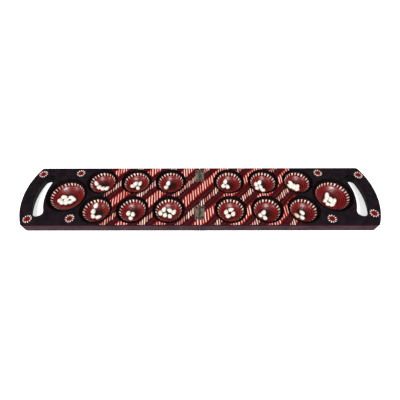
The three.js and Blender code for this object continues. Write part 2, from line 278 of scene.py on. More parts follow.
def combine(thing, other, operation):
    """Cuts the other object away from the first, or joins it to the first, and uses it up."""
    boolean = thing.modifiers.new("combine", "BOOLEAN")
    boolean.operation = operation
    boolean.solver = "EXACT"
    boolean.object = other
    baked_mesh(thing)
    bpy.data.objects.remove(other)


def extruded(skin, outline, hole, y0, y1, slot=0):
    """A bar along Y with an (x, z) outline and one (x, z) hole through it."""
    ends = []
    for y in (y0, y1):
        outer = skin.ring([(x, y, z) for x, z in outline])
        inner = skin.ring([(x, y, z) for x, z in hole])
        ends.append((outer, inner))
    skin.bridge(ends[0][0], ends[1][0], slot)
    skin.bridge(ends[0][1], ends[1][1], slot)
    for outer, inner in ends:
        skin.fill([outer, inner], slot, normal=(0, 1, 0))


def revolved(skin, profile, around, slot=0):
    """A solid turned about Z from (radius, height) points; the first and last lie on the axis."""
    rings = [skin.ring(circle(radius, around, z=height)) for radius, height in profile[1:-1]]
    skin.stack(rings, slot)
    skin.fan(rings[0], (0, 0, profile[0][1]), slot)
    skin.fan(rings[-1], (0, 0, profile[-1][1]), slot)


# ---- materials as node graphs ----


class Value:
    """A number at each point of a surface, built up with ordinary arithmetic."""

    def __init__(self, graph, socket):
        self.graph, self.socket = graph, socket

    def __add__(self, other):
        return self.graph.math("ADD", self, other)

    def __sub__(self, other):
        return self.graph.math("SUBTRACT", self, other)

    def __rsub__(self, other):
        return self.graph.math("SUBTRACT", other, self)

    def __mul__(self, other):
        return self.graph.math("MULTIPLY", self, other)

    def __truediv__(self, other):
        return self.graph.math("DIVIDE", self, other)

    __radd__, __rmul__ = __add__, __mul__


class Graph:
    """A material under construction."""

    def __init__(self, name, **inputs):
        self.material = bpy.data.materials.new(name)
        self.material.use_nodes = True
        self.tree = self.material.node_tree
        self.shader = self.tree.nodes["Principled BSDF"]
        self.set(**inputs)

    def node(self, kind, **settings):
        node = self.tree.nodes.new(kind)
        for key, value in settings.items():
            setattr(node, key, value)
        return node

    def feed(self, socket, value):
        if isinstance(value, Value):
            self.tree.links.new(value.socket, socket)
        else:
            socket.default_value = value

    def set(self, **inputs):
        for key, value in inputs.items():
            self.feed(self.shader.inputs[key.replace("_", " ")], value)

    def math(self, operation, *values):
        node = self.node("ShaderNodeMath", operation=operation)
        for socket, value in zip(node.inputs, values):
            self.feed(socket, value)
        return Value(self, node.outputs[0])

    def floor(self, value):
        return self.math("FLOOR", value)

    def abs(self, value):
        return self.math("ABSOLUTE", value)

    def least(self, a, b):
        return self.math("MINIMUM", a, b)

    def most(self, a, b):
        return self.math("MAXIMUM", a, b)

    def step(self, value, low, high):
        """0 where the value is under low, 1 where it is over high, and smooth between."""
        node = self.node("ShaderNodeMapRange", interpolation_type="SMOOTHSTEP", clamp=True)
        for socket, given in zip(node.inputs, (value, low, high, 0.0, 1.0)):
            self.feed(socket, given)
        return Value(self, node.outputs[0])

    def within(self, distance, reach, soft):
        """1 where the distance is less than reach, with a soft edge."""
        return 1 - self.step(distance - reach, -soft, soft)

    def split(self, vector):
        node = self.node("ShaderNodeSeparateXYZ")
        self.tree.links.new(vector, node.inputs[0])
        return [Value(self, output) for output in node.outputs]

    def joined(self, x, y=0.0, z=0.0):
        node = self.node("ShaderNodeCombineXYZ")
        for socket, value in zip(node.inputs, (x, y, z)):
            self.feed(socket, value)
        return Value(self, node.outputs[0])

    def place(self):
        """x, y and z of the point in the object's own frame, in millimetres."""
        coordinates = self.node("ShaderNodeTexCoord").outputs["Object"]
        return [axis * (1 / MM) for axis in self.split(coordinates)]

    def local(self):
        """x and y from the middle of the pit or rosette, in millimetres."""
        node = self.node("ShaderNodeAttribute", attribute_name="local")
        return self.split(node.outputs["Vector"])[:2]

    def attribute(self, name):
        return Value(self, self.node("ShaderNodeAttribute", attribute_name=name).outputs["Fac"])

    def noise(self, vector, scale, detail=3.0, roughness=0.5):
        """Soft noise from 0 to 1; scale is in cycles per unit of the vector."""
        node = self.node("ShaderNodeTexNoise")
        self.feed(node.inputs["Vector"], vector)
        for key, value in (("Scale", scale), ("Detail", detail), ("Roughness", roughness)):
            node.inputs[key].default_value = value
        return Value(self, node.outputs["Fac"])

    def chance(self, *numbers):
        """One steady random number from 0 to 1 for each set of whole numbers."""
        node = self.node("ShaderNodeTexWhiteNoise", noise_dimensions="3D")
        self.feed(node.inputs["Vector"], self.joined(*numbers))
        return Value(self, node.outputs["Value"])

    def mix(self, factor, a, b):
        """Colour a where the factor is 0 and b where it is 1."""
        node = self.node("ShaderNodeMix", data_type="RGBA", clamp_factor=True)
        self.feed(node.inputs[0], factor)
        self.feed(node.inputs[6], a)
        self.feed(node.inputs[7], b)
        return Value(self, node.outputs[2])

    def bump(self, height, depth):
        """Relief from a height in millimetres, scaled by depth."""
        node = self.node("ShaderNodeBump")
        node.inputs["Strength"].default_value = 1.0
        node.inputs["Distance"].default_value = depth * MM
        self.feed(node.inputs["Height"], height)
        self.set(Normal=Value(self, node.outputs["Normal"]))


BLACK = linear("0B0507")
RED = linear("760C0A")
DEEP_RED = linear("400608")
MAROON = linear("48070B")
MAUVE = linear("642028")
SALMON = linear("C43C2C")
PINK = linear("EC9C8E")
CREAM = linear("FFEBDD")
TAN = linear("C47A62")


def lacquer(graph, gloss=0.22):
    """Glossy brushed lacquer: fine grain along X telegraphs through, with faint wear."""
    x, y, z = graph.place()
    streaks = graph.noise(graph.joined(x * 0.03, y * 0.9, z * 0.9), 1.0, 4.0, 0.6)
    specks = graph.noise(graph.joined(x, y, z), 0.35, 5.0, 0.65)
    graph.set(Roughness=gloss + 0.14 * specks + 0.06 * streaks, Specular_IOR_Level=0.35)
    graph.bump(streaks * 0.5 + specks * 0.35, 0.08)


def strokes(graph, along, across_row, row, pitch, half_width, reach):
    """Painted strokes side by side in a row: how far in from a stroke's edge, and its chance number."""
    column = along / pitch
    number = graph.floor(column)
    luck = graph.chance(number, row, pitch)
    shift = (graph.chance(number, row, 11.0) - 0.5) * 0.5
    offset = graph.abs((column - number - 0.5) * pitch + shift)
    spare = reach * (0.8 + 0.3 * luck) - across_row
    width = graph.least(spare * 0.5, half_width * (0.8 + 0.4 * graph.chance(number, row, 7.0)))
    return width - offset, luck


def field_paint():
    """The playing face: slanting bands of red and black crossed by pale strokes, and black ends."""
    graph = Graph("field_paint")
    x, y, _ = graph.place()
    shake = graph.noise(graph.joined(x, y), 0.09, 2.0) - 0.5
    ripple = graph.noise(graph.joined(x, y), 0.5, 2.0) - 0.5
    x = x + shake * 1.8 + ripple * 0.8
    across = y * math.cos(BAND_ANGLE) - x * math.sin(BAND_ANGLE) + shake * 1.8 + ripple * 0.6
    band = (across - BAND_START) / BAND_PITCH
    row = graph.floor(band + 0.5)
    from_red = graph.abs(band - row) * BAND_PITCH
    from_dark = BAND_PITCH / 2 - from_red
    dark_row = graph.floor(band)

    mottle = graph.noise(graph.joined(x, y), 0.3, 4.0, 0.65)
    patchy = graph.step(mottle, 0.38, 0.62)
    paint = graph.mix(patchy, linear("1A0204"), MAROON)
    paint = graph.mix(graph.within(from_dark, BLACK_HALF_WIDTH, 0.5) * 0.8, paint, BLACK)
    for distance, weight in MAUVE_LINES:
        line = graph.within(graph.abs(from_red - distance), 0.5, 0.35) * (0.3 + 0.7 * patchy)
        paint = graph.mix(line * weight, paint, MAUVE)
    bright = graph.within(from_red, 8.0 + mottle, 1.5) * (0.35 + 0.65 * patchy)
    red = graph.mix(bright, DEEP_RED, RED)
    paint = graph.mix(graph.within(from_red, RED_HALF_WIDTH, 0.6), paint, red)
    border = graph.abs(from_red - RED_HALF_WIDTH - 0.3)
    paint = graph.mix(graph.within(border, 0.5, 0.3), paint, BLACK)

    lean = x + y * 0.07
    inside, luck = strokes(graph, lean, from_red, row, **RED_STROKES)
    halo = graph.step(inside, -0.15, 0.25)
    core = graph.step(inside, 0.3, 0.75) * (0.55 + 0.45 * luck)
    paint = graph.mix(halo * 0.85, paint, SALMON)
    paint = graph.mix(core, paint, graph.mix(graph.step(inside, 0.6, 1.1), PINK, CREAM))
    inside, luck = strokes(graph, lean, from_dark, dark_row, **BLACK_STROKES)
    halo = graph.step(inside, -0.15, 0.25)
    core = graph.step(inside, 0.25, 0.65) * (0.6 + 0.4 * luck)
    paint = graph.mix(halo * 0.75, paint, graph.mix(luck, linear("A8382C"), TAN))
    paint = graph.mix(core, paint, graph.mix(luck * 0.7, PINK, CREAM))

    ends = graph.step(graph.abs(x) - FIELD_END_X, -0.6, 0.6)
    black = graph.mix(graph.step(shake, -0.2, 0.2), linear("0E0B12"), linear("1E1417"))
    graph.set(Base_Color=graph.mix(ends, paint, black))
    lacquer(graph)
    return graph.material


def bowl_paint(name, bowl):
    """A pit: black bevel, a ring of pale dashes fading inward, red lacquer with turning lines, and a
    darker middle that is partly dark paint and partly painted shade under the shells.
    """
    graph = Graph(name)
    x, y = graph.local()
    radius = graph.math("SQRT", x * x + y * y)
    turn = graph.math("ARCTAN2", y, x) / (2 * math.pi)
    marks_end = bowl.wall_top - 0.5
    marks_start = marks_end - MARK_LENGTH

    wide = graph.noise(graph.joined(x, y), 0.12, 3.0)
    fine = graph.noise(graph.joined(x, y), 0.6, 3.0)
    swirl = radius + 2.2 * (wide - 0.5) + turn * 1.2
    turned = graph.math("SINE", swirl * (2 * math.pi / TURNING_PITCH)) * 0.5 + 0.5
    rings = turned * 0.7 + fine * 0.3
    lines = graph.step(rings, 0.32, 0.68)
    wall = graph.mix(lines, linear("1A0205"), linear("840E12"))
    wall = graph.mix(graph.step(wide, 0.45, 0.75) * 0.6, wall, linear("34080E"))
    wall = graph.mix(graph.step(fine * lines, 0.5, 0.7) * 0.7, wall, linear("A82E20"))
    # Darker towards the middle of the floor: partly dark paint, partly painted shade beneath the shells.
    dark = graph.within(radius + 5.0 * (wide - 0.5), bowl.lip * 0.38, 4.0)
    paint = graph.mix(dark * 0.92, wall, graph.mix(lines, linear("070304"), linear("26100A")))

    column = turn * bowl.marks
    number = graph.floor(column)
    luck = graph.chance(number, bowl.marks, 3.0)
    offset = graph.abs(column - number - 0.5) * (2 * math.pi / bowl.marks) * radius
    along = (radius - marks_start) / MARK_LENGTH
    swell = graph.most(along, 0.0) * 0.8 + 0.55
    dash = graph.step(swell * (0.85 + 0.2 * luck) - offset, -0.2, 0.2)
    dash = dash * graph.step(along, -1.6, 0.2) * graph.within(along, 0.97 + 0.06 * luck, 0.06)
    colour = graph.mix(graph.step(along, -0.1, 0.5), linear("9A1612"), SALMON)
    pale = graph.mix(luck * 0.6 + 0.4, PINK, CREAM)
    colour = graph.mix(graph.step(along, 0.2, 0.65) * (0.75 + 0.25 * luck), colour, pale)
    between = graph.within(graph.abs(along - 0.75), 0.5, 0.3)
    paint = graph.mix(between * 0.85, paint, linear("280405"))
    paint = graph.mix(dash, paint, colour)

    bevel = graph.step(radius, marks_end + 0.2, marks_end + 0.8)
    paint = graph.mix(bevel, paint, BLACK)
    graph.set(
        Base_Color=paint,
        Roughness=0.26 + 0.08 * rings + 0.32 * bevel,
        Specular_IOR_Level=0.55 - 0.52 * bevel,
    )
    graph.bump(rings + fine * 0.3, 0.14)
    return graph.material


def rosette_paint():
    """A small painted flower: a red heart in a ring of pale petals."""
    graph = Graph("rosette_paint")
    x, y = graph.local()
    board_x, board_y, _ = graph.place()
    wobble = graph.noise(graph.joined(board_x, board_y), 0.3, 2.0) - 0.5
    radius = graph.math("SQRT", x * x + y * y) + wobble * 0.8
    column = graph.math("ARCTAN2", y, x) / (2 * math.pi) * PETALS + wobble * 0.4
    number = graph.floor(column)
    luck = graph.chance(number, 2.0, 5.0)
    offset = graph.abs(column - number - 0.5) * (2 * math.pi / PETALS) * radius
    length = graph.within(graph.abs(radius - PETAL_MIDDLE), 1.2 + 0.3 * luck, 0.25)
    petal = graph.step(radius * 0.1 + 0.1 * luck - offset, -0.15, 0.15) * length
    ground = graph.within(radius, ROSETTE_RADIUS - 1.0, 0.6)
    paint = graph.mix(ground, linear("110A0E"), linear("340509"))
    paint = graph.mix(graph.within(radius, HEART_RADIUS, 0.9), paint, linear("660809"))
    paint = graph.mix(petal, paint, graph.mix(luck * 0.3 + 0.7, PINK, linear("FFF6F0")))
    graph.set(Base_Color=paint)
    lacquer(graph)
    return graph.material


def edge_paint():
    """The sides: thin dull purple-brown paint over grain, with a dark red line on top."""
    graph = Graph("edge_paint")
    x, y, z = graph.place()
    grain = graph.noise(graph.joined(x * 0.05, y * 0.05, z), 1.1, 4.0, 0.6)
    patches = graph.noise(graph.joined(x, y, z), 0.05, 3.0)
    paint = graph.mix(graph.step(grain, 0.3, 0.75), linear("2C1A1F"), linear("4C353E"))
    paint = graph.mix(graph.step(patches, 0.4, 0.7) * 0.5, paint, linear("1C1014"))
    line = graph.step(z, THICKNESS - 3.0 + grain, THICKNESS - 2.0 + grain)
    paint = graph.mix(line, paint, linear("2A060C"))
    graph.set(Base_Color=paint, Roughness=0.6 + 0.25 * grain, Specular_IOR_Level=0.06)
    graph.bump(grain, 0.2)
    return graph.material


def slot_wall_paint():
    """Inside the handle slot: the same black as the ends, duller where the saw left it rough."""
    graph = Graph("slot_wall_paint")
    x, y, z = graph.place()
    saw = graph.noise(graph.joined(x, y, z * 0.15), 0.8, 4.0, 0.6)
    paint = graph.mix(saw, linear("060304"), linear("10080A"))
    graph.set(Base_Color=paint, Roughness=0.6 + 0.25 * saw, Specular_IOR_Level=0.05)
    graph.bump(saw, 0.3)
    return graph.material


def underside_paint():
    """The back: dark brown stain in which the grain of the plank shows."""
    graph = Graph("underside_paint")
    x, y, _ = graph.place()
    sway = graph.noise(graph.joined(x * 0.01, y * 0.02), 1.0, 2.0)
    grain = graph.noise(graph.joined(x * 0.012, y * 0.35 + sway * 3.0), 1.0, 5.0, 0.6)
    pores = graph.noise(graph.joined(x * 0.12, y * 2.2), 1.0, 2.0)
    stain = graph.mix(graph.step(grain, 0.35, 0.65), linear("26140F"), linear("452518"))
    stain = graph.mix(graph.step(pores, 0.6, 0.75) * 0.7, stain, linear("140A08"))
    graph.set(Base_Color=stain, Roughness=0.45 + 0.25 * grain, Specular_IOR_Level=0.4)
    graph.bump(grain - graph.step(pores, 0.6, 0.75), 0.15)
    return graph.material


def steel(name, bright, tarnish):
    """Dull plated sheet steel with a green-brown tarnish and fine scratches."""
    graph = Graph(name)
    x, y, z = graph.place()
    cloud = graph.noise(graph.joined(x, y, z), 0.28, 4.0, 0.6)
    scratch = graph.noise(graph.joined(x * 3.0, y * 0.35, z * 3.0), 1.0, 3.0)
    tone = graph.mix(graph.step(cloud, 0.35, 0.7), bright, tarnish)
    tone = graph.mix(graph.step(scratch, 0.6, 0.8) * 0.5, tone, linear("BCB0A4"))
    # Darker along the knuckle barrels and the pins, which lie on the seam: partly grime, partly painted
    # shade of the gap between the leaves.
    grime_and_seam_shade = graph.within(graph.abs(x), 1.4, 0.8) * (0.5 + 0.4 * cloud)
    tone = graph.mix(grime_and_seam_shade, tone, linear("241E1A"))
    graph.set(Base_Color=tone, Metallic=0.3, Roughness=0.36 + 0.3 * cloud)
    graph.bump(cloud + scratch * 0.6, 0.05)
    return graph.material


def shell_material():
    """Polished natural shell: ivory with faint growth bands, each one its own tint."""
    graph = Graph("shell")
    tint = graph.attribute("tint")
    tip = graph.attribute("tip")
    x, y, z = graph.place()
    bands = graph.noise(graph.joined(x, y, z), 0.8, 3.0)
    ivory = graph.mix(bands, linear("F2ECE3"), linear("E6DCCF"))
    ivory = graph.mix(graph.step(tint, 0.75, 1.0), ivory, linear("E0C0AC"))
    ivory = graph.mix(tip, ivory, linear("C98E58"))
    graph.set(
        Base_Color=ivory,
        Roughness=0.28 + 0.2 * bands,
        Subsurface_Weight=0.12,
        Coat_Weight=0.3,
        Coat_Roughness=0.15,
    )
    graph.shader.inputs["Subsurface Radius"].default_value = (0.0012, 0.0009, 0.0006)
    graph.bump(bands, 0.06)
    return graph.material


# ---- board halves ----

FIELD, PIT, STORE, ROSETTE, EDGE, SLOT_WALL, UNDERSIDE = range(7)


def half_outline(inset):
    """One half's outline from above, drawn in by `inset` everywhere but at the seam."""
    round_y = HALF_WIDTH - CORNER_ROUND
    round_x = ARC_X + math.sqrt((ARC_RADIUS - CORNER_ROUND) ** 2 - round_y**2)
    end_angle = math.atan2(round_y, round_x - ARC_X)

    def corner(y, start, end):
        radius = CORNER_ROUND - inset
        return [(round_x + radius * math.cos(a), y + radius * math.sin(a)) for a in steps(8, start, end)]

    radius = ARC_RADIUS - inset
    turns = steps(40, -end_angle, end_angle)[1:-1]
    arc = [(ARC_X + radius * math.cos(a), radius * math.sin(a)) for a in turns]
    return [
        (SEAM_X, inset - HALF_WIDTH),
        *corner(-round_y, -math.pi / 2, -end_angle),
        *arc,
        *corner(round_y, end_angle, math.pi / 2),
        (SEAM_X, HALF_WIDTH - inset),
    ]


def slot_outline(grow, z):
    """The handle slot's outline at a height, pushed out by `grow`: part of a ring, corners rounded."""
    inner = ARC_RADIUS - SLOT_GRIP - SLOT_TOP
    outer = inner + SLOT_BOTTOM + (SLOT_TOP - SLOT_BOTTOM) * z / THICKNESS
    half_angle = math.asin(SLOT_HALF_LENGTH / outer)

    def end_angle(radius):
        return half_angle - math.asin(SLOT_CORNER / radius)

    def arc(radius, start, end, count, middle=0.0, turn=0.0):
        x, y = ARC_X + middle * math.cos(turn), middle * math.sin(turn)
        return [(x + radius * math.cos(a), y + radius * math.sin(a)) for a in steps(count, start, end)]

    def corner(middle, start, end):
        return arc(SLOT_CORNER + grow, start, end, 8, middle, end_angle(middle))

    square = half_angle + math.pi / 2
    outer_end, inner_end = end_angle(outer - SLOT_CORNER), end_angle(inner + SLOT_CORNER)
    outer_corner = corner(outer - SLOT_CORNER, outer_end, square)
    inner_corner = corner(inner + SLOT_CORNER, square, inner_end + math.pi)
    rear_end = outer_corner + inner_corner
    front_end = [(x, -y) for x, y in reversed(rear_end)]
    return [
        *arc(outer + grow, -outer_end, outer_end, 24)[1:-1],
        *rear_end,
        *arc(inner - grow, inner_end, -inner_end, 24)[1:-1],
        *front_end,
    ]


def at_height(outline, z):
    return [(x, y, z) for x, y in outline]


def outer_wall(skin):
    """The rounded outside; returns the bottom and top rings."""
    quarter = steps(6, 0, math.pi / 2)
    low = [(BOTTOM_ROUND * (1 - math.sin(a)), BOTTOM_ROUND * (1 - math.cos(a))) for a in quarter]
    high = [(TOP_ROUND * (1 - math.cos(a)), THICKNESS - TOP_ROUND * (1 - math.sin(a))) for a in quarter]
    rings = [skin.ring(at_height(half_outline(inset), z)) for inset, z in low + high]
    skin.stack(rings, EDGE)
    return rings[0], rings[-1]


def slot_wall(skin):
    """The handle slot's wall, rounded into both faces; returns its bottom and top rings."""
    quarter = steps(5, 0, math.pi / 2)
    low = [(SLOT_ROUND * (1 - math.sin(a)), SLOT_ROUND * (1 - math.cos(a))) for a in quarter]
    high = [(grow, THICKNESS - z) for grow, z in reversed(low)]
    rings = [skin.ring(at_height(slot_outline(grow, z), z)) for grow, z in low + high]
    skin.stack(rings, SLOT_WALL)
    return rings[0], rings[-1]


def softened(points, reach):
    """The same outline with every inner corner replaced by a short curve."""
    result = [points[0]]
    for before, corner, after in zip(points, points[1:], points[2:]):
        before, corner, after = Vector(before), Vector(corner), Vector(after)
        start = corner + (before - corner).normalized() * reach
        end = corner + (after - corner).normalized() * reach
        result += [tuple(start.lerp(corner, t).lerp(corner.lerp(end, t), t)) for t in steps(4)]
    return result + [points[-1]]


def bowl_profile(bowl):
    """Radius and height below the face, from just outside the lip to the middle of the floor."""
    slope = bowl.floor_edge / math.sqrt(bowl.radius**2 - bowl.floor_edge**2)
    low_height = bowl.radius - bowl.depth - math.sqrt(bowl.radius**2 - bowl.floor_edge**2)
    low, high = Vector((bowl.floor_edge, low_height)), Vector((bowl.wall_top, -BEVEL_DEPTH))
    run = (high.y - low.y - slope * (high.x - low.x)) / (WALL_SLOPE - slope)
    turn = high - Vector((1, WALL_SLOPE)) * run
    wall = [high.lerp(turn, t).lerp(turn.lerp(low, t), t) for t in steps(9)]
    lip = softened([(bowl.lip + 1, 0), (bowl.lip, 0), tuple(high), tuple(wall[1])], LIP_ROUND / 2)
    spread = math.asin(bowl.floor_edge / bowl.radius)
    floor = [
        (bowl.radius * math.sin(a), bowl.radius * (1 - math.cos(a)) - bowl.depth)
        for a in steps(10, spread, 0)[1:-1]
    ]
    return lip[1:] + [tuple(point) for point in wall[2:]] + floor


def bowl_wall(skin, x, y, bowl, slot):
    """One pit's surface; returns the ring that lies in the top face."""
    rings = [
        skin.ring(circle(radius, bowl.around, x, y, THICKNESS + height), (x, y))
        for radius, height in bowl_profile(bowl)
    ]
    skin.stack(rings, slot)
    skin.fan(rings[-1], (x, y, THICKNESS - bowl.depth), slot, (x, y))
    return rings[0]


def prism(skin, outline, low, high, slot=0):
    """A closed block between two flat ends; each outline point is placed by `low` and `high`."""
    rings = [skin.ring([end(*point) for point in outline]) for end in (low, high)]
    skin.bridge(*rings, slot)
    for ring in rings:
        skin.bm.faces.new(ring).material_index = slot


PAST = 3  # how far a cutter reaches past the surface it opens


def hinge_span(place, side):
    """The y range of a hinge, seen in a half that is built at +X."""
    low, high = node_box(f"hinge_{place}_leaf_right")
    return sorted((low.y * side, high.y * side))


def leaf_recesses(side):
    """What is cut out of a half for its hinge leaves to lie in."""
    skin = Skin()
    for place in HINGE_PLACES:
        y0, y1 = hinge_span(place, side)
        x, y0, y1 = LEAF_REACH + FIT, y0 - FIT, y1 + FIT
        outline = [(-PAST, y0), (x, y0), (x, y1), (-PAST, y1)]
        floor_z = LEAF_BOTTOM_Z - FIT
        prism(skin, outline, lambda x, y: (x, y, floor_z), lambda x, y: (x, y, THICKNESS + PAST), EDGE)
    return skin.object("recesses", [])


def knuckle_troughs(side):
    """What is cut out of a half's seam edge for the knuckles to turn in."""
    skin = Skin()
    for place in HINGE_PLACES:
        y0, y1 = hinge_span(place, side)
        y0, y1 = y0 - TROUGH_SPARE, y1 + TROUGH_SPARE
        outline = [(x, AXIS_Z + z) for x, z, _ in circle(CLEAR_RADIUS, 32)]
        prism(skin, outline, lambda x, z: (x, y0, z), lambda x, z: (x, y1, z), EDGE)
    return skin.object("troughs", [])


def board_half(side_name, materials):
    """One carved half; both are built at +X and the left one is turned half way round."""
    side = SIDES[side_name]
    skin = Skin()
    bottom, top = outer_wall(skin)
    slot_bottom, slot_top = slot_wall(skin)
    holes = [slot_top]
    for column in range(len(COLUMNS)):
        for y in (ROW_Y, -ROW_Y):
            x = FIRST_COLUMN_X + COLUMN_PITCH * column
            holes.append(bowl_wall(skin, x, y, PIT_BOWL, PIT))
    holes.append(bowl_wall(skin, STORE_X, 0, STORE_BOWL, STORE))
    for x, y in ROSETTES[side]:
        middle = (x * side, y * side)
        disc = skin.ring(circle(ROSETTE_RADIUS, 40, *middle, THICKNESS), middle)
        skin.fan(disc, (*middle, THICKNESS), ROSETTE, middle)
        holes.append(disc)
    skin.fill([top, *holes], FIELD)
    skin.fill([bottom, slot_bottom], UNDERSIDE)
    half = skin.object(f"wood_{side_name}", materials)
    combine(half, leaf_recesses(side), "DIFFERENCE")
    combine(half, knuckle_troughs(side), "DIFFERENCE")
    if side < 0:
        half.data.transform(Matrix.Rotation(math.pi, 4, "Z"))
    smooth_shaded(half)
    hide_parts(f"board_{side_name}")
    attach(half, f"half_{side_name}")


# ---- hinges ----


def rounded_corners(x0, x1, y0, y1, radius):
    """A plate's outline from above, square at the knuckle edge and rounded at the outer corners."""
    points = [(x0, y0)]
    for y, start in ((y0 + radius, -math.pi / 2), (y1 - radius, 0)):
        for a in steps(5, start, start + math.pi / 2):
            points.append((x1 - radius + radius * math.cos(a), y + radius * math.sin(a)))
    return points + [(x0, y1)]


def leaf_plate(skin, y0, y1):
    """The flat of a leaf, with two countersunk screw holes."""
    outline = rounded_corners(CLEAR_RADIUS, LEAF_REACH, y0, y1, LEAF_CORNER)
    low = skin.ring(at_height(outline, LEAF_BOTTOM_Z))
    high = skin.ring(at_height(outline, LEAF_TOP_Z))
    skin.bridge(low, high)
    middle = (y0 + y1) / 2
    lows, highs = [low], [high]
    for y in (middle - SCREW_Y, middle + SCREW_Y):
        lows.append(skin.ring(circle(SCREW_SHANK + FIT, 28, SCREW_X, y, LEAF_BOTTOM_Z)))
        highs.append(skin.ring(circle(SCREW_HEAD + HEAD_FIT, 28, SCREW_X, y, LEAF_TOP_Z)))
        skin.bridge(lows[-1], highs[-1])
    skin.fill(lows)
    skin.fill(highs)


def knuckle_outline():
    """A knuckle's section: sheet rolled round the pin, running out into the leaf."""
    low, high = LEAF_BOTTOM_Z - AXIS_Z, LEAF_TOP_Z - AXIS_Z
    start = math.asin(high / KNUCKLE_RADIUS)
    end = 2 * math.pi + math.asin(low / KNUCKLE_RADIUS)
    turns = steps(28, start, end)
    roll = [(KNUCKLE_RADIUS * math.cos(a), AXIS_Z + KNUCKLE_RADIUS * math.sin(a)) for a in turns]
    outer = CLEAR_RADIUS + KNUCKLE_OVERLAP
    return [(outer, LEAF_BOTTOM_Z), (outer, LEAF_TOP_Z), *roll]


def hinge_leaf(place, side_name, material):
    """A leaf with its knuckles: the left one has the two outer knuckles and the middle one."""
    node = f"hinge_{place}_leaf_{side_name}"
    side = SIDES[side_name]
    y0, y1 = hinge_span(place, side)
    plate = Skin()
    leaf_plate(plate, y0, y1)
    leaf = plate.object(f"leaf_{place}_{side_name}", [material])
    pitch = (y1 - y0) / KNUCKLES
    bore = [(x, AXIS_Z + z) for x, z, _ in circle(BORE_RADIUS, 24)]
    for i in range(0 if side < 0 else 1, KNUCKLES, 2):
        start = y0 + pitch * i + KNUCKLE_GAP / 2
        knuckle = Skin()
        extruded(knuckle, knuckle_outline(), bore, start, start + pitch - KNUCKLE_GAP)
        combine(leaf, knuckle.object("knuckle", [material]), "UNION")
    if side < 0:
        leaf.data.transform(Matrix.Rotation(math.pi, 4, "Z"))
    rounded_edges(leaf, 0.14)
    smooth_shaded(leaf)
    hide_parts(node)
    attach(leaf, f"half_{side_name}")


def hinge_pin(place, material):
    """A straight pin with its two ends hammered into low domes."""
    node = f"hinge_{place}_pin"
    low, high = node_box(node)
    half = (high.y - low.y) / 2
    shank = half - PIN_HEAD
    quarter = steps(5, 0, math.pi / 2)[:-1]
    dome = [(PIN_HEAD_RADIUS * math.cos(a), shank + PIN_HEAD * math.sin(a)) for a in quarter]
    upper = [(PIN_RADIUS, shank), *dome, (0, half)]
    profile = [(radius, -height) for radius, height in reversed(upper)] + upper
    skin = Skin()
    revolved(skin, profile, 28)
    middle = Matrix.Translation((0, (low.y + high.y) / 2, AXIS_Z))
    pin = skin.object(f"pin_{place}", [material], middle @ Matrix.Rotation(math.pi / 2, 4, "X"))
    smooth_shaded(pin)
    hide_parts(node)
    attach(pin, "half_left")


def screw(node, turn, material):
    """A countersunk slotted wood screw, its slot left at a chance angle."""
    low, high = node_box(node)
    skin = Skin()
    threads = []
    for i in range(THREADS):
        z = -SCREW_HEAD_DEPTH - THREAD_PITCH * (i + 0.5)
        threads += [(SCREW_SHANK, z), (SCREW_SHANK * 0.8, z - THREAD_PITCH / 2)]
    profile = [(0, 0), (SCREW_HEAD * 0.93, 0), (SCREW_HEAD, -0.08), (SCREW_SHANK, -SCREW_HEAD_DEPTH)]
    profile += [point for point in threads if point[1] > SCREW_POINT - SCREW_LENGTH]
    profile += [(0, -SCREW_LENGTH)]
    revolved(skin, profile, 28)
    body = skin.object(f"screw_{node.removeprefix('hinge_')}", [material])
    slot = Skin()
    x = DRIVER_SLOT_WIDTH / 2
    corners = [(-x, -PAST), (x, -PAST), (x, PAST), (-x, PAST)]
    prism(slot, corners, lambda x, y: (x, y, -DRIVER_SLOT_DEPTH), lambda x, y: (x, y, PAST))
    combine(body, slot.object("slot_cutter", []), "DIFFERENCE")
    middle = Vector(((low.x + high.x) / 2, (low.y + high.y) / 2, high.z)) * MM
    body.data.transform(Matrix.Translation(middle) @ Matrix.Rotation(turn, 4, "Z"))
    smooth_shaded(body)
    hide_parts(node)
    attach(body, "half_left" if "_left_" in node else "half_right")


# ---- shells ----


def shell_skin(dice, tinted_tip):
    """A small snail-like shell along X: a blunt body whorl, a short stepped spire and a slit mouth."""
    around, along = 28, 26
    skin = Skin()
    tip = skin.bm.verts.layers.float.new("tip")
    mouth = dice.uniform(0, 2 * math.pi)
    turns = dice.uniform(2.6, 3.4)
    rings = []
    for t in steps(along)[1:-1]:
        a = math.pi * t
        swell = math.sin(a) * (1 + SHELL_TAPER * math.cos(a)) / 2
        points = []
        for i in range(around):
            turn = 2 * math.pi * i / around
            coil = (turns * t + i / around) % 1.0
            groove = 0.09 * math.exp(-(((coil - 0.5) / 0.13) ** 2)) * min(1, max(0, (t - 0.42) * 5))
            apart = math.remainder(turn - mouth, 2 * math.pi)
            slit = 0.22 * math.exp(-((apart / 0.28) ** 2) - ((t - 0.34) / 0.2) ** 2)
            radius = swell * (1 - groove - slit)
            points.append((-math.cos(a) / 2, radius * math.cos(turn), radius * math.sin(turn)))
        rings.append(skin.ring(points))
    skin.stack(rings)
    skin.fan(rings[0], (-0.5, 0, 0))
    skin.fan(rings[-1], (0.5, 0, 0))
    for vert in skin.bm.verts:
        vert[tip] = min(1, max(0, vert.co.x * 4 - 0.6)) if tinted_tip else 0
    return skin


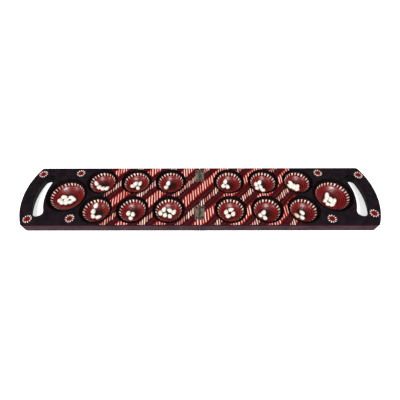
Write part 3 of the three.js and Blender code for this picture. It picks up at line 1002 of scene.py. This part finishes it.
def shell(pit, number, spot, centre, bowl, material):
    """One shell, lying on the round floor of its pit at its spot from SHELLS."""
    dx, dy, turn, layer = (*spot, 0)[:4]
    name = f"{pit}_{number}"
    dice = random.Random(name)
    up = Vector((-dx, -dy, math.sqrt(bowl.radius**2 - dx**2 - dy**2))).normalized()
    bowl_centre = Vector((*centre, THICKNESS - bowl.depth + bowl.radius))
    rise = SHELL_SIZE.z * (0.5 + 0.85 * layer) + SHELL_GAP
    lean = Vector((0, 0, 1)).rotation_difference(up)
    size = SHELL_SIZE * dice.uniform(0.94, 1.0)
    skin = shell_skin(dice, name == BROWN_TIPPED)
    matrix = Matrix.Translation(bowl_centre + up * (rise - bowl.radius)) @ lean.to_matrix().to_4x4()
    matrix = matrix @ Matrix.Rotation(math.radians(turn), 4, "Z") @ Matrix.Diagonal((*size, 1))
    thing = skin.object(f"shell_{name}", [material], matrix)
    tint = thing.data.attributes.new("tint", "FLOAT", "POINT")
    value = 1.0 if name == PINKISH else dice.uniform(0, 0.8)
    tint.data.foreach_set("value", [value] * len(thing.data.vertices))
    smooth_shaded(thing, 60)
    single = f"seed_{name}"
    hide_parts(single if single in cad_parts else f"seeds_{pit}")
    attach(thing, f"seeds_{pit}")


def pit_place(name):
    """A pit's middle and its bowl, from a name such as left_rear_outer."""
    side_name, row, *column = name.split("_")
    side = SIDES[side_name]
    if row == "store":
        return (side * STORE_X, 0), STORE_BOWL
    x = side * (FIRST_COLUMN_X + COLUMN_PITCH * COLUMNS.index(column[0]))
    return (x, ROW_Y if row == "rear" else -ROW_Y), PIT_BOWL


# ---- build the object ----

wood = [
    field_paint(),
    bowl_paint("pit_paint", PIT_BOWL),
    bowl_paint("store_paint", STORE_BOWL),
    rosette_paint(),
    edge_paint(),
    slot_wall_paint(),
    underside_paint(),
]
for side_name in SIDES:
    board_half(side_name, wood)

leaf_steel = steel("leaf_steel", linear("807468"), linear("544A3E"))
screw_steel = steel("screw_steel", linear("302B27"), linear("171412"))
turns = random.Random(5)
for place in HINGE_PLACES:
    hinge_pin(place, leaf_steel)
    for side_name in SIDES:
        hinge_leaf(place, side_name, leaf_steel)
        for end in ("rear", "front"):
            screw(f"hinge_{place}_screw_{side_name}_{end}", turns.uniform(0, math.pi), screw_steel)

ivory = shell_material()
for pit, spots in SHELLS.items():
    for number, spot in enumerate(spots, 1):
        shell(pit, number, spot, *pit_place(pit), ivory)

# ---- floor, light and camera ----

FLOOR_RADIUS = 4000
FLOOR_GLOW = 0.65  # a lit table, white inside the handle slots too
DIM_SPOT, DIM_EDGE = (12, 67), 6  # half size of the unlit floor under the seam, and its soft edge


def floor():
    graph = Graph("floor", Roughness=0.6)
    x, y, _ = graph.place()
    paper = graph.noise(graph.joined(x, y), 0.4, 3.0)
    graph.set(Base_Color=graph.mix(paper, linear("F6F6F6"), linear("FAFAFA")))
    lit = [graph.step(graph.abs(v), end - DIM_EDGE, end) for v, end in zip((x, y), DIM_SPOT)]
    glow = graph.most(*lit) * FLOOR_GLOW
    graph.set(Emission_Color=(1, 1, 1, 1), Emission_Strength=glow)
    skin = Skin()
    skin.fan(skin.ring(circle(FLOOR_RADIUS, 64)), (0, 0, 0))
    ground = skin.object("floor", [graph.material])


def far_light(name, toward, spread, strength, reflected=True):
    """Even light from a wide disc far off in the direction `toward`; spread is its width in degrees."""
    light = bpy.data.lights.new(name, "SUN")
    light.angle = math.radians(spread)
    light.energy = strength
    lamp = bpy.data.objects.new(name, light)
    lamp.visible_glossy = reflected
    lamp.rotation_mode = "QUATERNION"
    lamp.rotation_quaternion = Vector(toward).to_track_quat("Z", "Y")
    bpy.context.scene.collection.objects.link(lamp)


def surroundings(brightness, reflected, seen):
    """Even light from all round, of another brightness in reflections and behind the floor."""
    world = bpy.data.worlds.new("surroundings")
    world.use_nodes = True
    nodes, links = world.node_tree.nodes, world.node_tree.links
    background = nodes["Background"]
    background.inputs["Color"].default_value = (0.97, 0.97, 1.0, 1.0)
    rays = nodes.new("ShaderNodeLightPath").outputs
    level = nodes.new("ShaderNodeValue").outputs["Value"]
    level.default_value = brightness
    for ray, own in (("Is Glossy Ray", reflected), ("Is Camera Ray", seen)):
        shift = nodes.new("ShaderNodeMath")
        shift.operation = "MULTIPLY_ADD"
        links.new(rays[ray], shift.inputs[0])
        shift.inputs[1].default_value = own - brightness
        links.new(level, shift.inputs[2])
        level = shift.outputs["Value"]
    links.new(level, background.inputs["Strength"])
    bpy.context.scene.world = world


def camera(place, pitch, yaw, roll, lens):
    """Looks along +Y, turned right by yaw, down by pitch and rolled, all in degrees."""
    pitch, yaw, roll = (math.radians(a) for a in (pitch, yaw, roll))
    ahead = Vector((math.sin(yaw) * math.cos(pitch), math.cos(yaw) * math.cos(pitch), -math.sin(pitch)))
    right = Vector((math.cos(yaw), -math.sin(yaw), 0))
    up = right.cross(ahead)
    turned_right = right * math.cos(roll) + up * math.sin(roll)
    turned_up = up * math.cos(roll) - right * math.sin(roll)
    data = bpy.data.cameras.new("camera")
    data.lens, data.sensor_width = lens, 36
    data.clip_start = 0.01
    view = bpy.data.objects.new("camera", data)
    view.matrix_world = Matrix.Translation(Vector(place) * MM) @ Matrix(
        (turned_right, turned_up, -ahead)
    ).transposed().to_4x4()
    bpy.context.scene.collection.objects.link(view)
    bpy.context.scene.camera = view


floor()
surroundings(brightness=0.12, reflected=0.06, seen=0.9)
far_light("key", (0.11, -0.5, 0.86), spread=20, strength=3.0)
far_light("second", (-0.75, -0.35, 0.56), spread=18, strength=0.7)
far_light("overhead", (0, 0, 1), spread=60, strength=0.9, reflected=False)
camera((2.8, -306.4, 453), pitch=55.61, yaw=-0.43, roll=-0.43, lens=25.44)
bpy.context.scene.view_settings.view_transform = "Standard"
